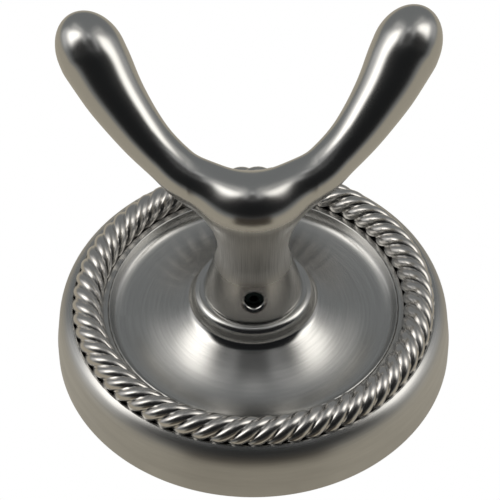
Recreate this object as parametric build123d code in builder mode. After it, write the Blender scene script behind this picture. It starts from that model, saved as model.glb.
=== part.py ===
import os
from math import cos, radians, sin

from build123d import *

# Robe hook in millimetres. The origin is the centre of the wall face, -Y points
# into the room and +Z up the wall. Profiles are drawn as (radius, -distance from wall).

# rosette
rim_r = 38.0
rim_wall = 2.0
rim_band = 3.0
rim_draft = 0.5
rim_land = 3.1
shoulder_start = 7.5
land_w = 11.7
channel_w = 8.8
channel_gap = 0.1
ledge_w = 10.6
ridge_gap = 0.95
ridge_h = 0.25
dish_edge = 3.95
dish_w = 8.3
dish_wall = 1.9
collar_r = 11.5
collar_top = 16.2
collar_wall = 2.4
collar_web = 3.4
bead_r = 1.7
cove_r = 2.2
cove_turn = 61

# rope border
strand_r = 1.4
strand_off = 1.6
strands = 3
strand_turns = 20
strand_sides = 8
core_r = 2.3
core_chamfer = 1.4
lobe_start = -10
lobe_end = 202
lobe_runs = 6

# fixing
boss_r = 5.0
boss_over = 4.5
boss_gap = 0.15
web_gap = 0.2
flange_r = 22.0
flange_t = 2.5
fixing_pitch = 30.0
fixing_hole_r = 2.25
fixing_head_r = 4.4

# set screw
screw_r = 1.75
screw_gap = 0.03
screw_up = 4.75
screw_seat_r = 8.18
screw_mouth = 0.45
screw_len = 2.8
screw_af = 1.6
screw_socket = 1.5
point_r = 0.3
groove_depth = 0.6

# hook
foot_inset = 0.3
foot_lip = 0.3
foot_waist_r = 7.3
foot_waist_up = 7.8
neck_r = 6.5
neck_up = 13.0
neck_blend = 5.0
saddle_w = 37.6
arm_lean = 53.13
arm_line = [(0, 0.15), (4.1, 1.5), (7.6, 3.85), (11.3, 5.8)]
arm_line += [(14.6, 8.5), (20.5, 15.05), (25.15, 22), (29.2, 29.8)]
arm_radii = [7.3, 6.25, 4.75, 4.3, 4.12, 4.25, 4.64, 5.1, 5.6, 6.08, 6.35]
tip_len = 8.4

shoulder_r = rim_r - rim_draft
shell_r = rim_r - rim_wall
rope_r = strand_off + strand_r
rope_w = channel_w + rope_r
channel_out = rim_r - rim_land
rope_axis_r = channel_out - channel_gap - rope_r
channel_in = rope_axis_r - rope_r - channel_gap
ridge_r = channel_in - ridge_gap
dish_r = ridge_r - dish_edge
dish_span = dish_r - collar_r
cove_top = collar_top - bead_r - 0.4
cove_foot_r = collar_r + cove_r * (1 - cos(radians(cove_turn)))
cove_foot_w = cove_top - cove_r * sin(radians(cove_turn))
dish_rise = cove_top - dish_w
shell_top = dish_w - dish_wall
web_w = collar_top - collar_web
foot_r = collar_r - bead_r - foot_inset
screw_w = collar_top + screw_up
boss_end = screw_w + boss_over
neck_w = collar_top + neck_up
crossings = strands * strand_turns

with BuildPart() as rosette:
    with BuildSketch(Plane.XY):
        with BuildLine():
            Polyline(
                (shell_r, 0),
                (rim_r, 0),
                (rim_r, -rim_band),
                (shoulder_r, -shoulder_start),
            )
            TangentArc(
                (shoulder_r, -shoulder_start),
                (channel_out, -land_w),
                tangent=(-rim_draft, rim_band - shoulder_start),
            )
            Polyline(
                (channel_out, -land_w),
                (channel_out, -channel_w),
                (channel_in, -channel_w),
                (channel_in, -ledge_w),
                (ridge_r + 0.25, -ledge_w),
                (ridge_r + 0.05, -ledge_w - ridge_h),
                (ridge_r - 0.15, -ledge_w - ridge_h),
                (ridge_r - 0.3, -ledge_w + 0.2),
            )
            Spline(
                (ridge_r - 0.3, -ledge_w + 0.2),
                (dish_r + 2.1, -dish_w - 0.55),
                (dish_r, -dish_w),
                (dish_r - 0.31 * dish_span, -dish_w - 0.09 * dish_rise),
                (dish_r - 0.62 * dish_span, -dish_w - 0.375 * dish_rise),
                (cove_foot_r, -cove_foot_w),
                tangents=[(-1, 1), (-sin(radians(cove_turn)), -cos(radians(cove_turn)))],
            )
            RadiusArc((cove_foot_r, -cove_foot_w), (collar_r, -cove_top), -cove_r)
            Line((collar_r, -cove_top), (collar_r, -collar_top + bead_r))
            RadiusArc(
                (collar_r, -collar_top + bead_r),
                (collar_r - bead_r, -collar_top),
                bead_r,
            )
            Polyline(
                (collar_r - bead_r, -collar_top),
                (boss_r + web_gap, -collar_top),
                (boss_r + web_gap, -web_w),
                (collar_r - collar_wall, -web_w),
                (dish_r - 0.73 * dish_span, -shell_top - 0.58 * dish_rise),
                (dish_r - 0.25 * dish_span, -shell_top),
                (shell_r - 1.8, -shell_top),
                (shell_r, -shell_top + 1.8),
                (shell_r, 0),
            )
        make_face()
    revolve(axis=Axis.Y)

lobe_points = []
for run in range(lobe_runs + 1):
    around = radians(lobe_start + (lobe_end - lobe_start) * run / lobe_runs)
    along = around / strand_turns
    reach = rope_axis_r + strand_off * cos(around)
    height = rope_w + strand_off * sin(around)
    lobe_points.append((reach * cos(along), -height, reach * sin(along)))

with BuildPart() as lobe:
    with BuildLine() as lobe_line:
        Polyline(*lobe_points)
    with BuildSketch(Plane(origin=lobe_line.line @ 0, z_dir=lobe_line.line % 0)):
        RegularPolygon(strand_r, strand_sides)
    sweep(path=lobe_line.line, transition=Transition.RIGHT)
lobes = [lobe.part.rotate(Axis.Y, -360 / crossings * copy) for copy in range(crossings)]

with BuildPart() as rope_ring:
    with BuildSketch(Plane.XZ.offset(channel_w)):
        RegularPolygon(rope_axis_r + core_r, crossings)
        RegularPolygon(rope_axis_r - core_r, crossings, mode=Mode.SUBTRACT)
    extrude(amount=rope_r + core_r)
    chamfer(rope_ring.faces().sort_by(Axis.Y)[0].edges(), length=core_chamfer)
    add(lobes)

with BuildPart() as wall_bracket:
    with BuildSketch(Plane.XZ):
        Circle(flange_r)
    extrude(amount=flange_t)
    chamfer(wall_bracket.edges().sort_by(Axis.Y)[0], length=0.5)
    with BuildSketch(Plane.XZ.offset(flange_t)):
        Circle(boss_r)
    extrude(amount=boss_end - flange_t)
    chamfer(wall_bracket.edges().sort_by(Axis.Y)[0], length=0.4)
    with Locations(Plane.XZ.offset(flange_t)):
        with GridLocations(1, fixing_pitch, 1, 2):
            CounterSinkHole(radius=fixing_hole_r, counter_sink_radius=fixing_head_r)
    with BuildSketch(Plane.XY):
        with BuildLine():
            Polyline(
                (boss_r - groove_depth, -screw_w),
                (boss_r + 0.2, -screw_w - groove_depth - 0.2),
                (boss_r + 0.2, -screw_w + groove_depth + 0.2),
                close=True,
            )
        make_face()
    revolve(axis=Axis.Y, mode=Mode.SUBTRACT)

with BuildPart() as set_screw:
    with BuildSketch(Plane.YZ):
        with BuildLine():
            Polyline(
                (-screw_w, -boss_r + groove_depth - point_r),
                (-screw_w - point_r, -boss_r + groove_depth - point_r),
                (-screw_w - screw_r + screw_gap, -boss_r + groove_depth - screw_r + screw_gap),
                (-screw_w - screw_r + screw_gap, -boss_r + groove_depth - screw_len + 0.2),
                (-screw_w - screw_r + screw_gap + 0.2, -boss_r + groove_depth - screw_len),
                (-screw_w, -boss_r + groove_depth - screw_len),
                close=True,
            )
        make_face()
    revolve(axis=Axis((0, -screw_w, 0), (0, 0, 1)))
    with BuildSketch(Plane(origin=(0, -screw_w, -boss_r + groove_depth - screw_len), z_dir=(0, 0, -1))):
        RegularPolygon(radius=screw_af / 2, side_count=6, major_radius=False)
    extrude(amount=-screw_socket, mode=Mode.SUBTRACT)

with BuildLine() as arm_curve:
    Spline(arm_line, tangents=[(1, 0), (0.45, 0.89)])

arm_plane = Plane(
    origin=(0, -saddle_w, 0),
    x_dir=(1, 0, 0),
    z_dir=(0, -sin(radians(arm_lean)), -cos(radians(arm_lean))),
)
arm_centre = arm_curve.line.moved(arm_plane.location)
last = len(arm_radii) - 1
arm_tip = arm_centre @ 1
arm_end = arm_centre % 1

with BuildPart() as hook:
    for station in range(-last, last + 1):
        side = 1 if station >= 0 else -1
        here = arm_centre @ (abs(station) / last)
        way = arm_centre % (abs(station) / last)
        with BuildSketch(
            Plane(
                origin=(side * here.X, here.Y, here.Z),
                x_dir=arm_plane.z_dir,
                z_dir=(way.X, side * way.Y, side * way.Z),
            )
        ):
            Circle(arm_radii[abs(station)])
    loft()
    with BuildSketch(Plane(origin=arm_tip, x_dir=arm_end, z_dir=arm_plane.z_dir)):
        with BuildLine():
            cap = EllipticalCenterArc((0, 0), tip_len, arm_radii[last], start_angle=0, arc_size=90)
            Polyline(cap @ 1, (0, 0), cap @ 0)
        make_face()
    revolve(axis=Axis(arm_tip, arm_end))
    mirror(about=Plane.YZ)
    with BuildSketch(Plane.XY):
        with BuildLine():
            Spline(
                (foot_r, -collar_top - foot_lip),
                (screw_seat_r, -screw_w),
                (foot_waist_r, -collar_top - foot_waist_up),
                (neck_r, -neck_w),
                tangents=[(-0.3, -1), (0, -1)],
            )
            Polyline(
                (neck_r, -neck_w),
                (neck_r, -saddle_w),
                (0, -saddle_w),
                (0, -collar_top),
                (foot_r - foot_lip, -collar_top),
                (foot_r, -collar_top - foot_lip),
            )
        make_face()
    revolve(axis=Axis.Y)
    joint = hook.edges().filter_by(lambda edge: abs(edge.center().X) < neck_r + 3)
    joint = joint.filter_by(lambda edge: -saddle_w < edge.center().Y < -neck_w - 0.5)
    joint = joint.filter_by(GeomType.LINE, reverse=True)
    fillet(joint, radius=neck_blend)
    with BuildSketch(Plane.XZ.offset(collar_top)):
        Circle(boss_r + boss_gap)
    extrude(amount=boss_end + 0.6 - collar_top, mode=Mode.SUBTRACT)
    with BuildSketch(Plane(origin=(0, -screw_w, 0), z_dir=(0, 0, -1))):
        Circle(screw_r)
    extrude(amount=foot_r, mode=Mode.SUBTRACT)
    mouth = hook.edges().sort_by_distance((0, -screw_w, -screw_seat_r))[0]
    chamfer(mouth, length=screw_mouth)

os.makedirs("parts", exist_ok=True)
rosette.part.label = "rosette"
export_step(rosette.part, "parts/rosette.step")
rope_ring.part.label = "rope_ring"
export_step(rope_ring.part, "parts/rope_ring.step")
hook.part.label = "hook"
export_step(hook.part, "parts/hook.step")
set_screw.part.label = "set_screw"
export_step(set_screw.part, "parts/set_screw.step")
wall_bracket.part.label = "wall_bracket"
export_step(wall_bracket.part, "parts/wall_bracket.step")
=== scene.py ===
import math
import operator

import bpy
from bpy.props import FloatProperty, FloatVectorProperty, IntProperty, PointerProperty
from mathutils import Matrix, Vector


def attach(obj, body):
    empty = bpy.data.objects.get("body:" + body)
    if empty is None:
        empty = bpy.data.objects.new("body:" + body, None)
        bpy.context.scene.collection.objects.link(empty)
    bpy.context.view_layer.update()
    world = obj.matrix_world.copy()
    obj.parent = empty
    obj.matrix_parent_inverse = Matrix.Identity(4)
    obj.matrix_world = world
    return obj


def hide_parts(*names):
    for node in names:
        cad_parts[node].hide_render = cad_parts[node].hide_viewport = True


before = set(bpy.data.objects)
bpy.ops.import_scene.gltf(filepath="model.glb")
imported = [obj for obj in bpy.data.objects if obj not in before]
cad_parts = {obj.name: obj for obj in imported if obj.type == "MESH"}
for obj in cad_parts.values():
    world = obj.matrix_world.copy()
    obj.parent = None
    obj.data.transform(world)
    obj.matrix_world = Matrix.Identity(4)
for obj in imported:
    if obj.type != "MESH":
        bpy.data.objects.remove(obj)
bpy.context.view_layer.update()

bl_info = {
    "name": "Double robe hook",
    "version": (1, 0, 0),
    "blender": (4, 5, 0),
    "location": "View3D > Sidebar > Robe hook",
    "description": "Dresses a double robe hook in satin nickel with a twisted-rope border",
    "category": "Object",
}

# lengths in metres that the operators share
MILLIMETRE = 0.001
SAME_PLACE = 0.000001

# how finely the round pieces are cut
PLATE_STEPS = 240
STEPS_PER_TURN = 32
STRAND_ROUNDNESS = 6
CORE_SEGMENTS = 240
CORE_SIDES = 16

# the hook's remeshing, and for each part of it: rounds of smoothing, growth along the normals,
# shift out of the wall, and the distances from the wall and to the side between which it fades in
VOXEL = 0.00028
CAST_PARTS = (
    ("arms", 50, 0.0001, 0, (0.0255, 0.0295), None),
    ("front", 0, -0.0007, 0.001, (0.031, 0.036), (0.011, 0.004)),
    ("saddle", 420, 0.0005, 0, (0.0275, 0.0325), (0.018, 0.012)),
)

# where the finishes change: distances from the post's axis, and from the wall
COLLAR_EDGE = (0.0126, 0.0134)
RIM_EDGE = (0.0352, 0.0364)
BEAD_TOP = (0.0142, 0.0152)
NECK_FOOT = (0.0235, 0.0275)
NECK_HEAD = (0.034, 0.04)

# the part of a noise's range that is used, and the noises' cells: per metre from the axis, per
# radian round it and per metre along it, and per metre every way
NOISE = (0.3, 0.7)
FINE_GRAIN = (9000, 1.3, 7000)
BRUSH_MARKS = (2600, 1.1)
NECK_LINES = (45, 90)
STRAND_SPOTS = 900.0
STEEL_SPOTS = 600.0

# roughness of the finishes where nothing makes them duller, and how far the grain makes the
# highlights longer across it
CAST_ROUGHNESS = 0.22
BEAD_ROUGHNESS = 0.16
DISH_ROUGHNESS = 0.22
RIM_EXTRA = 0.1
PLATE_STRETCH = 0.78
NECK_STRETCH = 0.95
QUARTER_TURN = 0.25

# the light round the hook in degrees: azimuths from straight down the wall towards the right,
# elevations out of the wall and the softness of the edge, and then its colour
OPEN_SKY = (0.235, 0.245, 0.25)
PATCHES = (
    # warm and even from the wall's side
    ((-190, 190), (-100, -5), 4, (0.49, 0.45, 0.37)),
    # dark front, where the camera stands
    ((-36, 36), (-22, 6), 5, (0.06, 0.05, 0.04)),
    ((-75, 78), (6, 66), 7, (0.012, 0.013, 0.014)),
    ((-50, 50), (66, 84), 6, (0.05, 0.05, 0.05)),
    # straight out of the wall, and high at both sides
    ((-190, 190), (85, 100), 3, (0.75, 0.75, 0.75)),
    ((-135, -42), (68, 80), 5, (0.5, 0.5, 0.5)),
    ((38, 135), (68, 80), 5, (0.5, 0.5, 0.5)),
    # low at the sides
    ((-122, -88), (2, 36), 8, (0.7, 0.7, 0.7)),
    ((92, 124), (0, 42), 9, (0.5, 0.5, 0.5)),
    # pale surroundings of the two bright sides, and the bright sides
    ((-142, -96), (38, 74), 8, (0.6, 0.6, 0.59)),
    ((96, 142), (38, 74), 8, (0.5, 0.5, 0.49)),
    ((-110, -79), (26, 67), 9, (2.6, 2.54, 2.44)),
    ((80, 110), (26, 65), 9, (2.2, 2.15, 2.05)),
)


class RopeSizes(bpy.types.PropertyGroup):
    """Sizes of the rope border"""

    ring_radius: FloatProperty(
        name="Ring radius",
        description="From the plate's centre to the middle of the rope",
        default=0.0318,
        unit="LENGTH",
    )
    height: FloatProperty(
        name="Height",
        description="From the wall to the middle of the rope",
        default=0.0118,
        unit="LENGTH",
    )
    strand_radius: FloatProperty(
        name="Strand radius",
        description="Radius of one strand",
        default=0.00132,
        unit="LENGTH",
    )
    strand_offset: FloatProperty(
        name="Strand offset",
        description="From the middle of the rope to the middle of a strand",
        default=0.00168,
        unit="LENGTH",
    )
    core_radius: FloatProperty(
        name="Core radius",
        description="Radius of the solid core that the strands lie on",
        default=0.0025,
        unit="LENGTH",
    )
    strands: IntProperty(
        name="Strands",
        description="Strands laid together",
        default=4,
        min=2,
    )
    turns: IntProperty(
        name="Turns",
        description="Turns of a strand round the plate",
        default=15,
        min=4,
    )
    first_crossing: FloatProperty(
        name="First crossing",
        description="Where a strand leaves the outer edge, round the plate",
        default=0.0,
        subtype="ANGLE",
    )


class FinishColours(bpy.types.PropertyGroup):
    """Colours of the finishes"""

    satin: FloatVectorProperty(
        name="Satin nickel",
        description="Colour of the plate and the hook",
        default=(0.555, 0.55, 0.535),
        subtype="COLOR",
    )
    polished: FloatVectorProperty(
        name="Polished nickel",
        description="Colour of the rope border",
        default=(0.62, 0.6, 0.575),
        subtype="COLOR",
    )
    screw: FloatVectorProperty(
        name="Screw",
        description="Colour of the set screw",
        default=(0.03, 0.045, 0.045),
        subtype="COLOR",
    )
    zinc: FloatVectorProperty(
        name="Zinc",
        description="Colour of the hidden wall bracket",
        default=(0.55, 0.57, 0.6),
        subtype="COLOR",
    )


class StudioSizes(bpy.types.PropertyGroup):
    """Place and lens of the camera"""

    camera_place: FloatVectorProperty(
        name="Camera place",
        description="Where the camera stands, below and in front of the hook",
        default=(-0.006437, -0.383583, -0.32066),
        subtype="TRANSLATION",
    )
    camera_turn: FloatVectorProperty(
        name="Camera turn",
        description="How the camera is turned",
        default=(math.radians(131.9399), math.radians(1.342), math.radians(0.2607)),
        subtype="EULER",
    )
    lens: FloatProperty(
        name="Lens",
        description="Focal length",
        default=183.9,
        unit="CAMERA",
    )


def add_node(tree, kind, **settings):
    """A shader node with the given settings and input values."""
    node = tree.nodes.new(kind)
    for key, value in settings.items():
        if hasattr(node, key):
            setattr(node, key, value)
        else:
            node.inputs[key].default_value = value
    return node


def calc(tree, operation, first, second=None):
    """The result of a Math node on one or two values or outputs."""
    node = add_node(tree, "ShaderNodeMath", operation=operation)
    for index, value in enumerate((first, second)):
        if value is None:
            continue
        if isinstance(value, (int, float)):
            node.inputs[index].default_value = value
        else:
            tree.links.new(value, node.inputs[index])
    return node.outputs[0]


def ramp(tree, value, span, low, high):
    """A straight change from low to high while a value crosses a span."""
    node = add_node(tree, "ShaderNodeMapRange")
    tree.links.new(value, node.inputs["Value"])
    for key, number in zip(("From Min", "From Max", "To Min", "To Max"), (*span, low, high)):
        node.inputs[key].default_value = number
    return node.outputs[0]


def polar(tree):
    """Distance from the post's axis, angle round it and place along it, in Object coordinates."""
    place = add_node(tree, "ShaderNodeTexCoord")
    split = add_node(tree, "ShaderNodeSeparateXYZ")
    tree.links.new(place.outputs["Object"], split.inputs[0])
    x, y, z = split.outputs
    square = calc(tree, "ADD", calc(tree, "MULTIPLY", x, x), calc(tree, "MULTIPLY", z, z))
    return calc(tree, "SQRT", square), calc(tree, "ARCTAN2", z, x), y


def noise(tree, parts, detail, roughness):
    """Noise with its own number of cells along each coordinate."""
    join = add_node(tree, "ShaderNodeCombineXYZ")
    for index, (value, cells) in enumerate(parts):
        tree.links.new(calc(tree, "MULTIPLY", value, cells), join.inputs[index])
    grain = add_node(tree, "ShaderNodeTexNoise", Scale=1.0, Detail=detail, Roughness=roughness)
    tree.links.new(join.outputs[0], grain.inputs["Vector"])
    return grain.outputs["Fac"]


def metal(name, colour, roughness):
    """A metal and the nodes that its grain is added to."""
    material = bpy.data.materials.new(name)
    material.use_nodes = True
    tree = material.node_tree
    shader = tree.nodes["Principled BSDF"]
    shader.inputs["Base Color"].default_value = (*colour, 1)
    shader.inputs["Metallic"].default_value = 1
    shader.inputs["Roughness"].default_value = roughness
    return material, tree, shader


def two_tones(tree, shader, factor, colour, dark, light):
    """Colours a metal between a darker and a lighter tone of one colour."""
    mix = add_node(tree, "ShaderNodeMix", data_type="RGBA")
    tree.links.new(factor, mix.inputs["Factor"])
    mix.inputs["A"].default_value = (*[dark * part for part in colour], 1)
    mix.inputs["B"].default_value = (*[light * part for part in colour], 1)
    tree.links.new(mix.outputs["Result"], shader.inputs["Base Color"])


def round_grain(tree, shader):
    """Turns the grain of a metal round the post's axis."""
    tangent = add_node(tree, "ShaderNodeTangent", direction_type="RADIAL", axis="Y")
    tree.links.new(tangent.outputs[0], shader.inputs["Tangent"])


def uneven(tree, shader, cells, low, high):
    """Makes a metal's dullness vary in small spots."""
    place = add_node(tree, "ShaderNodeTexCoord")
    grain = add_node(tree, "ShaderNodeTexNoise", Scale=cells, Detail=2.0)
    tree.links.new(place.outputs["Object"], grain.inputs["Vector"])
    tree.links.new(ramp(tree, grain.outputs["Fac"], NOISE, low, high), shader.inputs["Roughness"])


def brushed_plate(colours):
    """Satin nickel brushed in circles about the post, with a smoother collar."""
    material, tree, shader = metal("satin nickel, turned", colours.satin, 0.3)
    radius, angle, along = polar(tree)
    grain = noise(tree, zip((radius, angle, along), FINE_GRAIN), 3.0, 0.6)
    marks = noise(tree, zip((radius, angle), BRUSH_MARKS), 4.0, 0.7)
    two_tones(tree, shader, ramp(tree, marks, NOISE, 0, 1), colours.satin, 0.91, 1.1)

    brushed = ramp(tree, radius, COLLAR_EDGE, 0, 1)
    tree.links.new(calc(tree, "MULTIPLY", brushed, PLATE_STRETCH), shader.inputs["Anisotropic"])
    shader.inputs["Anisotropic Rotation"].default_value = QUARTER_TURN
    round_grain(tree, shader)

    dull = calc(tree, "MULTIPLY", ramp(tree, grain, NOISE, 0.06, 0.11), brushed)
    bead = ramp(tree, calc(tree, "MULTIPLY", along, -1), BEAD_TOP, BEAD_ROUGHNESS, DISH_ROUGHNESS)
    rim = calc(tree, "ADD", bead, ramp(tree, radius, RIM_EDGE, 0, RIM_EXTRA))
    tree.links.new(calc(tree, "ADD", dull, rim), shader.inputs["Roughness"])

    bump = add_node(tree, "ShaderNodeBump", Strength=0.05, Distance=0.00002)
    tree.links.new(grain, bump.inputs["Height"])
    tree.links.new(bump.outputs[0], shader.inputs["Normal"])
    return material


def satin_casting(colours):
    """Satin nickel, brushed along the neck and smoother on the arms."""
    material, tree, shader = metal("satin nickel, cast", colours.satin, CAST_ROUGHNESS)
    radius, angle, along = polar(tree)
    grain = noise(tree, zip((angle, along), NECK_LINES), 3.0, 0.6)
    out = calc(tree, "MULTIPLY", along, -1)
    head, foot = ramp(tree, out, NECK_HEAD, 1, 0), ramp(tree, out, NECK_FOOT, 0, 1)
    neck = calc(tree, "MULTIPLY", head, foot)

    lines = calc(tree, "MULTIPLY", ramp(tree, grain, NOISE, -0.2, 0.8), neck)
    two_tones(tree, shader, calc(tree, "ADD", lines, 0.5), colours.satin, 0.72, 1.28)

    tree.links.new(calc(tree, "MULTIPLY", neck, NECK_STRETCH), shader.inputs["Anisotropic"])
    tree.links.new(ramp(tree, neck, (0, 1), 1, 0.25), shader.inputs["Metallic"])
    round_grain(tree, shader)

    dull = calc(tree, "MULTIPLY", ramp(tree, grain, NOISE, 0.24, 0.34), neck)
    tree.links.new(calc(tree, "ADD", dull, CAST_ROUGHNESS), shader.inputs["Roughness"])
    return material


def polished_strand(colours):
    """Polished nickel with a slightly uneven gloss."""
    material, tree, shader = metal("polished nickel", colours.polished, 0.24)
    uneven(tree, shader, STRAND_SPOTS, 0.21, 0.27)
    return material


def plain_steel(name, colour, roughness):
    """Steel with a slightly uneven dullness."""
    material, tree, shader = metal(name, colour, roughness)
    uneven(tree, shader, STEEL_SPOTS, roughness - 0.06, roughness + 0.08)
    return material


def finish_node(name, material):
    """Gives a CAD node its finish."""
    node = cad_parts[name]
    node.data.materials.clear()
    node.data.materials.append(material)


def pick(context, piece):
    """Selects one object and makes it active."""
    bpy.ops.object.select_all(action="DESELECT")
    piece.select_set(True)
    context.view_layer.objects.active = piece


def bend(start, first, second, end, steps):
    """Points along a cubic curve, without its first."""
    corners = (start, first, second, end)
    points = []
    for step in range(1, steps + 1):
        t = step / steps
        weights = ((1 - t) ** 3, 3 * t * (1 - t) ** 2, 3 * t * t * (1 - t), t**3)
        points.append([sum(map(operator.mul, weights, row)) for row in zip(*corners)])
    return points


def plate_outline():
    """The plate's profile in millimetres, as radius and distance from the wall."""
    wall = [(36.0, 0.0), (37.85, 0.0), (38.0, 0.15), (38.0, 3.0), (37.5, 7.5)]
    shoulder = bend((37.5, 7.5), (37.3, 9.3), (36.7, 10.8), (35.1, 11.65), 14)
    channel = [(34.8, 11.62), (34.64, 11.5), (34.48, 10.83), (33.98, 9.97), (33.22, 9.33)]
    channel += [(31.8, 8.95), (30.38, 9.33), (29.62, 9.97), (29.1, 10.5)]
    ledge = [(28.95, 10.6), (28.0, 10.6)]
    ridge = [(27.86, 10.8), (27.72, 10.86), (27.58, 10.8), (27.45, 10.4)]
    dish = bend((27.45, 10.4), (27.1, 9.3), (26.5, 8.6), (25.2, 8.42), 14)
    dish += bend((25.2, 8.42), (20.3, 7.8), (15.8, 10.5), (12.9, 12.1), 30)
    cove = bend((12.9, 12.1), (12.1, 12.54), (11.5, 13.2), (11.5, 14.3), 12)
    bead = bend((11.5, 14.3), (11.5, 15.5), (10.9, 16.2), (9.8, 16.2), 14)
    hollow = [(5.2, 16.2), (5.2, 12.8), (9.1, 12.8), (14.8, 9.8)]
    hollow += [(20.7, 6.4), (34.2, 6.4), (36.0, 4.6)]
    return wall + shoulder + channel + ledge + ridge + dish + cove + bead + hollow


def fade(value, none, full):
    """0 at one value, 1 at the other and a straight line between them."""
    return min(max((value - none) / (full - none), 0), 1)


def close_up():
    """Merges the doubles of the active mesh and turns its faces outwards."""
    bpy.ops.object.mode_set(mode="EDIT")
    bpy.ops.mesh.select_all(action="SELECT")
    bpy.ops.mesh.remove_doubles(threshold=SAME_PLACE)
    bpy.ops.mesh.normals_make_consistent(inside=False)
    bpy.ops.object.mode_set(mode="OBJECT")


def settle(piece, name, material, sharpest):
    """Names a finished mesh, smooths it, dresses it and hangs it on the part's body."""
    piece.name = name
    bpy.ops.object.transform_apply(location=True, rotation=True, scale=True)
    bpy.ops.object.shade_smooth_by_angle(angle=math.radians(sharpest))
    piece.data.materials.clear()
    piece.data.materials.append(material)
    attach(piece, "root")


class ROBEHOOK_OT_plate(bpy.types.Operator):
    """Finish the round plate"""

    bl_idname = "robehook.plate"
    bl_label = "Plate"

    def execute(self, context):
        points = [
            (MILLIMETRE * radius, -MILLIMETRE * out, 0) for radius, out in plate_outline()
        ]
        edges = [(index, (index + 1) % len(points)) for index in range(len(points))]
        mesh = bpy.data.meshes.new("plate")
        mesh.from_pydata(points, edges, [])
        plate = bpy.data.objects.new("plate", mesh)
        context.scene.collection.objects.link(plate)
        pick(context, plate)
        bpy.ops.object.mode_set(mode="EDIT")
        bpy.ops.mesh.select_all(action="SELECT")
        bpy.ops.mesh.spin(
            steps=PLATE_STEPS,
            angle=math.tau,
            center=(0, 0, 0),
            axis=(0, 1, 0),
        )
        bpy.ops.object.mode_set(mode="OBJECT")
        close_up()
        finish = brushed_plate(context.scene.hook_colours)
        settle(plate, "plate", finish, sharpest=24)
        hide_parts("rosette")
        return {"FINISHED"}


class ROBEHOOK_OT_rope(bpy.types.Operator):
    """Lay the strands of the rope border into the plate's channel"""

    bl_idname = "robehook.rope"
    bl_label = "Rope border"

    def execute(self, context):
        sizes = context.scene.hook_rope
        coils = [self.strand(context, sizes, number) for number in range(sizes.strands)]
        bpy.ops.object.select_all(action="DESELECT")
        bpy.ops.mesh.primitive_torus_add(
            major_radius=sizes.ring_radius,
            minor_radius=sizes.core_radius,
            major_segments=CORE_SEGMENTS,
            minor_segments=CORE_SIDES,
            location=(0, -sizes.height, 0),
            rotation=(math.radians(90), 0, 0),
        )
        for strand in coils:
            strand.select_set(True)
        context.view_layer.objects.active = coils[0]
        bpy.ops.object.join()
        rope = context.object
        close_up()
        finish = polished_strand(context.scene.hook_colours)
        settle(rope, "rope_strands", finish, sharpest=50)
        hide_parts("rope_ring")
        return {"FINISHED"}

    def strand(self, context, sizes, number):
        """One strand, wound round the middle of the rope."""
        bpy.ops.object.select_all(action="DESELECT")
        bpy.ops.mesh.primitive_circle_add(
            vertices=sizes.turns * STEPS_PER_TURN,
            radius=sizes.ring_radius,
            fill_type="NOTHING",
        )
        strand = context.object
        start = number * math.tau / sizes.strands
        for vertex in strand.data.vertices:
            angle = math.atan2(vertex.co.y, vertex.co.x)
            twist = sizes.turns * (angle - sizes.first_crossing) + start
            radius = sizes.ring_radius + sizes.strand_offset * math.cos(twist)
            out = sizes.height + sizes.strand_offset * math.sin(twist)
            vertex.co = Vector((radius * math.cos(angle), -out, radius * math.sin(angle)))
        bpy.ops.object.convert(target="CURVE")
        strand.data.dimensions = "3D"
        strand.data.bevel_depth = sizes.strand_radius
        strand.data.bevel_resolution = STRAND_ROUNDNESS
        bpy.ops.object.convert(target="MESH")
        return strand


class ROBEHOOK_OT_hook(bpy.types.Operator):
    """Finish the hook casting"""

    bl_idname = "robehook.hook"
    bl_label = "Hook"

    def execute(self, context):
        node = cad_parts["hook"]
        mesh = node.data.copy()
        mesh.transform(node.matrix_world)
        cast = bpy.data.objects.new("hook_casting", mesh)
        context.scene.collection.objects.link(cast)
        pick(context, cast)
        bpy.ops.object.mode_set(mode="EDIT")
        bpy.ops.mesh.select_all(action="SELECT")
        bpy.ops.mesh.remove_doubles(threshold=0.00001)
        bpy.ops.object.mode_set(mode="OBJECT")
        bpy.ops.object.modifier_add(type="REMESH")
        cast.modifiers[-1].mode = "VOXEL"
        cast.modifiers[-1].voxel_size = VOXEL
        bpy.ops.object.modifier_apply(modifier=cast.modifiers[-1].name)
        for part in CAST_PARTS:
            self.smooth(cast, *part)
        cast.vertex_groups.clear()
        finish = satin_casting(context.scene.hook_colours)
        settle(cast, "hook_casting", finish, sharpest=40)
        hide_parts("hook")
        return {"FINISHED"}

    def smooth(self, cast, name, rounds, growth, shift, rise, narrowing):
        """Smooths one part of the casting, fading into the rest."""
        group = cast.vertex_groups.new(name=name)
        for vertex in cast.data.vertices:
            weight = fade(-vertex.co.y, *rise)
            if narrowing:
                weight *= fade(abs(vertex.co.x), *narrowing)
            vertex.co.y -= shift * weight
            if weight > 0:
                group.add([vertex.index], weight, "REPLACE")
        for kind in ("SMOOTH", "DISPLACE"):
            bpy.ops.object.modifier_add(type=kind)
            change = cast.modifiers[-1]
            change.vertex_group = name
            if kind == "SMOOTH":
                change.factor = 0.5
                change.iterations = rounds
            else:
                change.mid_level = 0
                change.strength = growth
            bpy.ops.object.modifier_apply(modifier=change.name)


class ROBEHOOK_OT_fixings(bpy.types.Operator):
    """Finish the set screw and the hidden wall bracket"""

    bl_idname = "robehook.fixings"
    bl_label = "Fixings"

    def execute(self, context):
        colours = context.scene.hook_colours
        finish_node("set_screw", plain_steel("screw steel", colours.screw, 0.4))
        finish_node("wall_bracket", plain_steel("zinc plate", colours.zinc, 0.38))
        return {"FINISHED"}


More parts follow.
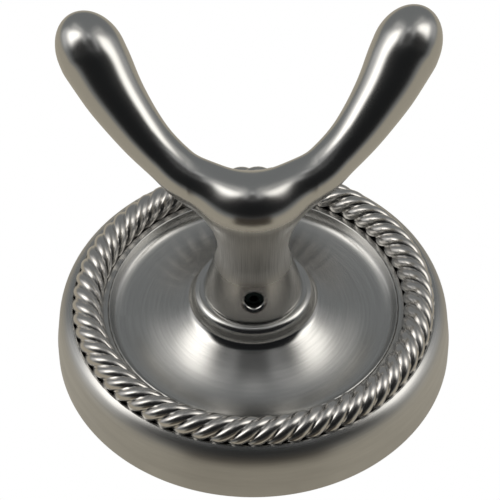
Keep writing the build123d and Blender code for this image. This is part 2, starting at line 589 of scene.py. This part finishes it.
def patch(tree, azimuth, elevation, azimuths, elevations, soft):
    """1 inside a patch of the surroundings, 0 outside it, with soft edges."""
    result = None
    for value, edges in ((azimuth, azimuths), (elevation, elevations)):
        for edge, ends in zip(edges, ((0, 1), (1, 0))):
            node = add_node(tree, "ShaderNodeMapRange", interpolation_type="SMOOTHSTEP")
            tree.links.new(value, node.inputs["Value"])
            node.inputs["From Min"].default_value = math.radians(edge - soft)
            node.inputs["From Max"].default_value = math.radians(edge + soft)
            node.inputs["To Min"].default_value, node.inputs["To Max"].default_value = ends
            step = node.outputs[0]
            result = step if result is None else calc(tree, "MULTIPLY", result, step)
    return result


class ROBEHOOK_OT_studio(bpy.types.Operator):
    """Set up the camera and the soft light"""

    bl_idname = "robehook.studio"
    bl_label = "Studio"

    def execute(self, context):
        scene = context.scene
        sizes = scene.hook_studio
        scene.view_settings.view_transform = "Standard"
        camera = bpy.data.objects.new("camera", bpy.data.cameras.new("camera"))
        camera.data.lens = sizes.lens
        camera.data.sensor_width = 36
        camera.data.clip_start = 0.01
        camera.location = sizes.camera_place
        camera.rotation_euler = sizes.camera_turn
        scene.collection.objects.link(camera)
        scene.camera = camera
        self.sky(scene)
        return {"FINISHED"}

    def sky(self, scene):
        """Soft patches of light for reflections, and white for the camera."""
        world = bpy.data.worlds.new("studio")
        world.use_nodes = True
        scene.world = world
        tree = world.node_tree
        tree.nodes.clear()
        place = add_node(tree, "ShaderNodeTexCoord")
        split = add_node(tree, "ShaderNodeSeparateXYZ")
        tree.links.new(place.outputs["Generated"], split.inputs[0])
        x, y, z = split.outputs
        elevation = calc(tree, "ARCSINE", calc(tree, "MULTIPLY", y, -1))
        azimuth = calc(tree, "ARCTAN2", x, calc(tree, "MULTIPLY", z, -1))
        colour = add_node(tree, "ShaderNodeRGB")
        colour.outputs[0].default_value = (*OPEN_SKY, 1)
        result = colour.outputs[0]
        for azimuths, elevations, soft, shade in PATCHES:
            mix = add_node(tree, "ShaderNodeMix", data_type="RGBA")
            inside = patch(tree, azimuth, elevation, azimuths, elevations, soft)
            tree.links.new(inside, mix.inputs["Factor"])
            tree.links.new(result, mix.inputs["A"])
            mix.inputs["B"].default_value = (*shade, 1)
            result = mix.outputs["Result"]
        rays = add_node(tree, "ShaderNodeLightPath")
        seen = add_node(tree, "ShaderNodeMix", data_type="RGBA")
        tree.links.new(rays.outputs["Is Camera Ray"], seen.inputs["Factor"])
        tree.links.new(result, seen.inputs["A"])
        seen.inputs["B"].default_value = (1, 1, 1, 1)
        background = add_node(tree, "ShaderNodeBackground")
        tree.links.new(seen.outputs["Result"], background.inputs["Color"])
        output = add_node(tree, "ShaderNodeOutputWorld")
        tree.links.new(background.outputs[0], output.inputs[0])


class ROBEHOOK_PT_panel(bpy.types.Panel):
    """Robe hook tools"""

    bl_label = "Robe hook"
    bl_idname = "ROBEHOOK_PT_panel"
    bl_space_type = "VIEW_3D"
    bl_region_type = "UI"
    bl_category = "Robe hook"

    def draw(self, context):
        scene = context.scene
        for group in (scene.hook_rope, scene.hook_colours, scene.hook_studio):
            for name in group.__annotations__:
                self.layout.prop(group, name)
        for tool in OPERATORS:
            self.layout.operator(tool.bl_idname)


OPERATORS = (
    ROBEHOOK_OT_studio,
    ROBEHOOK_OT_plate,
    ROBEHOOK_OT_rope,
    ROBEHOOK_OT_hook,
    ROBEHOOK_OT_fixings,
)
CLASSES = (RopeSizes, FinishColours, StudioSizes, *OPERATORS, ROBEHOOK_PT_panel)


def register():
    for item in CLASSES:
        bpy.utils.register_class(item)
    bpy.types.Scene.hook_rope = PointerProperty(type=RopeSizes)
    bpy.types.Scene.hook_colours = PointerProperty(type=FinishColours)
    bpy.types.Scene.hook_studio = PointerProperty(type=StudioSizes)


def unregister():
    del bpy.types.Scene.hook_studio
    del bpy.types.Scene.hook_colours
    del bpy.types.Scene.hook_rope
    for item in reversed(CLASSES):
        bpy.utils.unregister_class(item)


def main():
    register()
    bpy.ops.robehook.studio()
    bpy.ops.robehook.plate()
    bpy.ops.robehook.rope()
    bpy.ops.robehook.hook()
    bpy.ops.robehook.fixings()


if __name__ == "__main__":
    main()
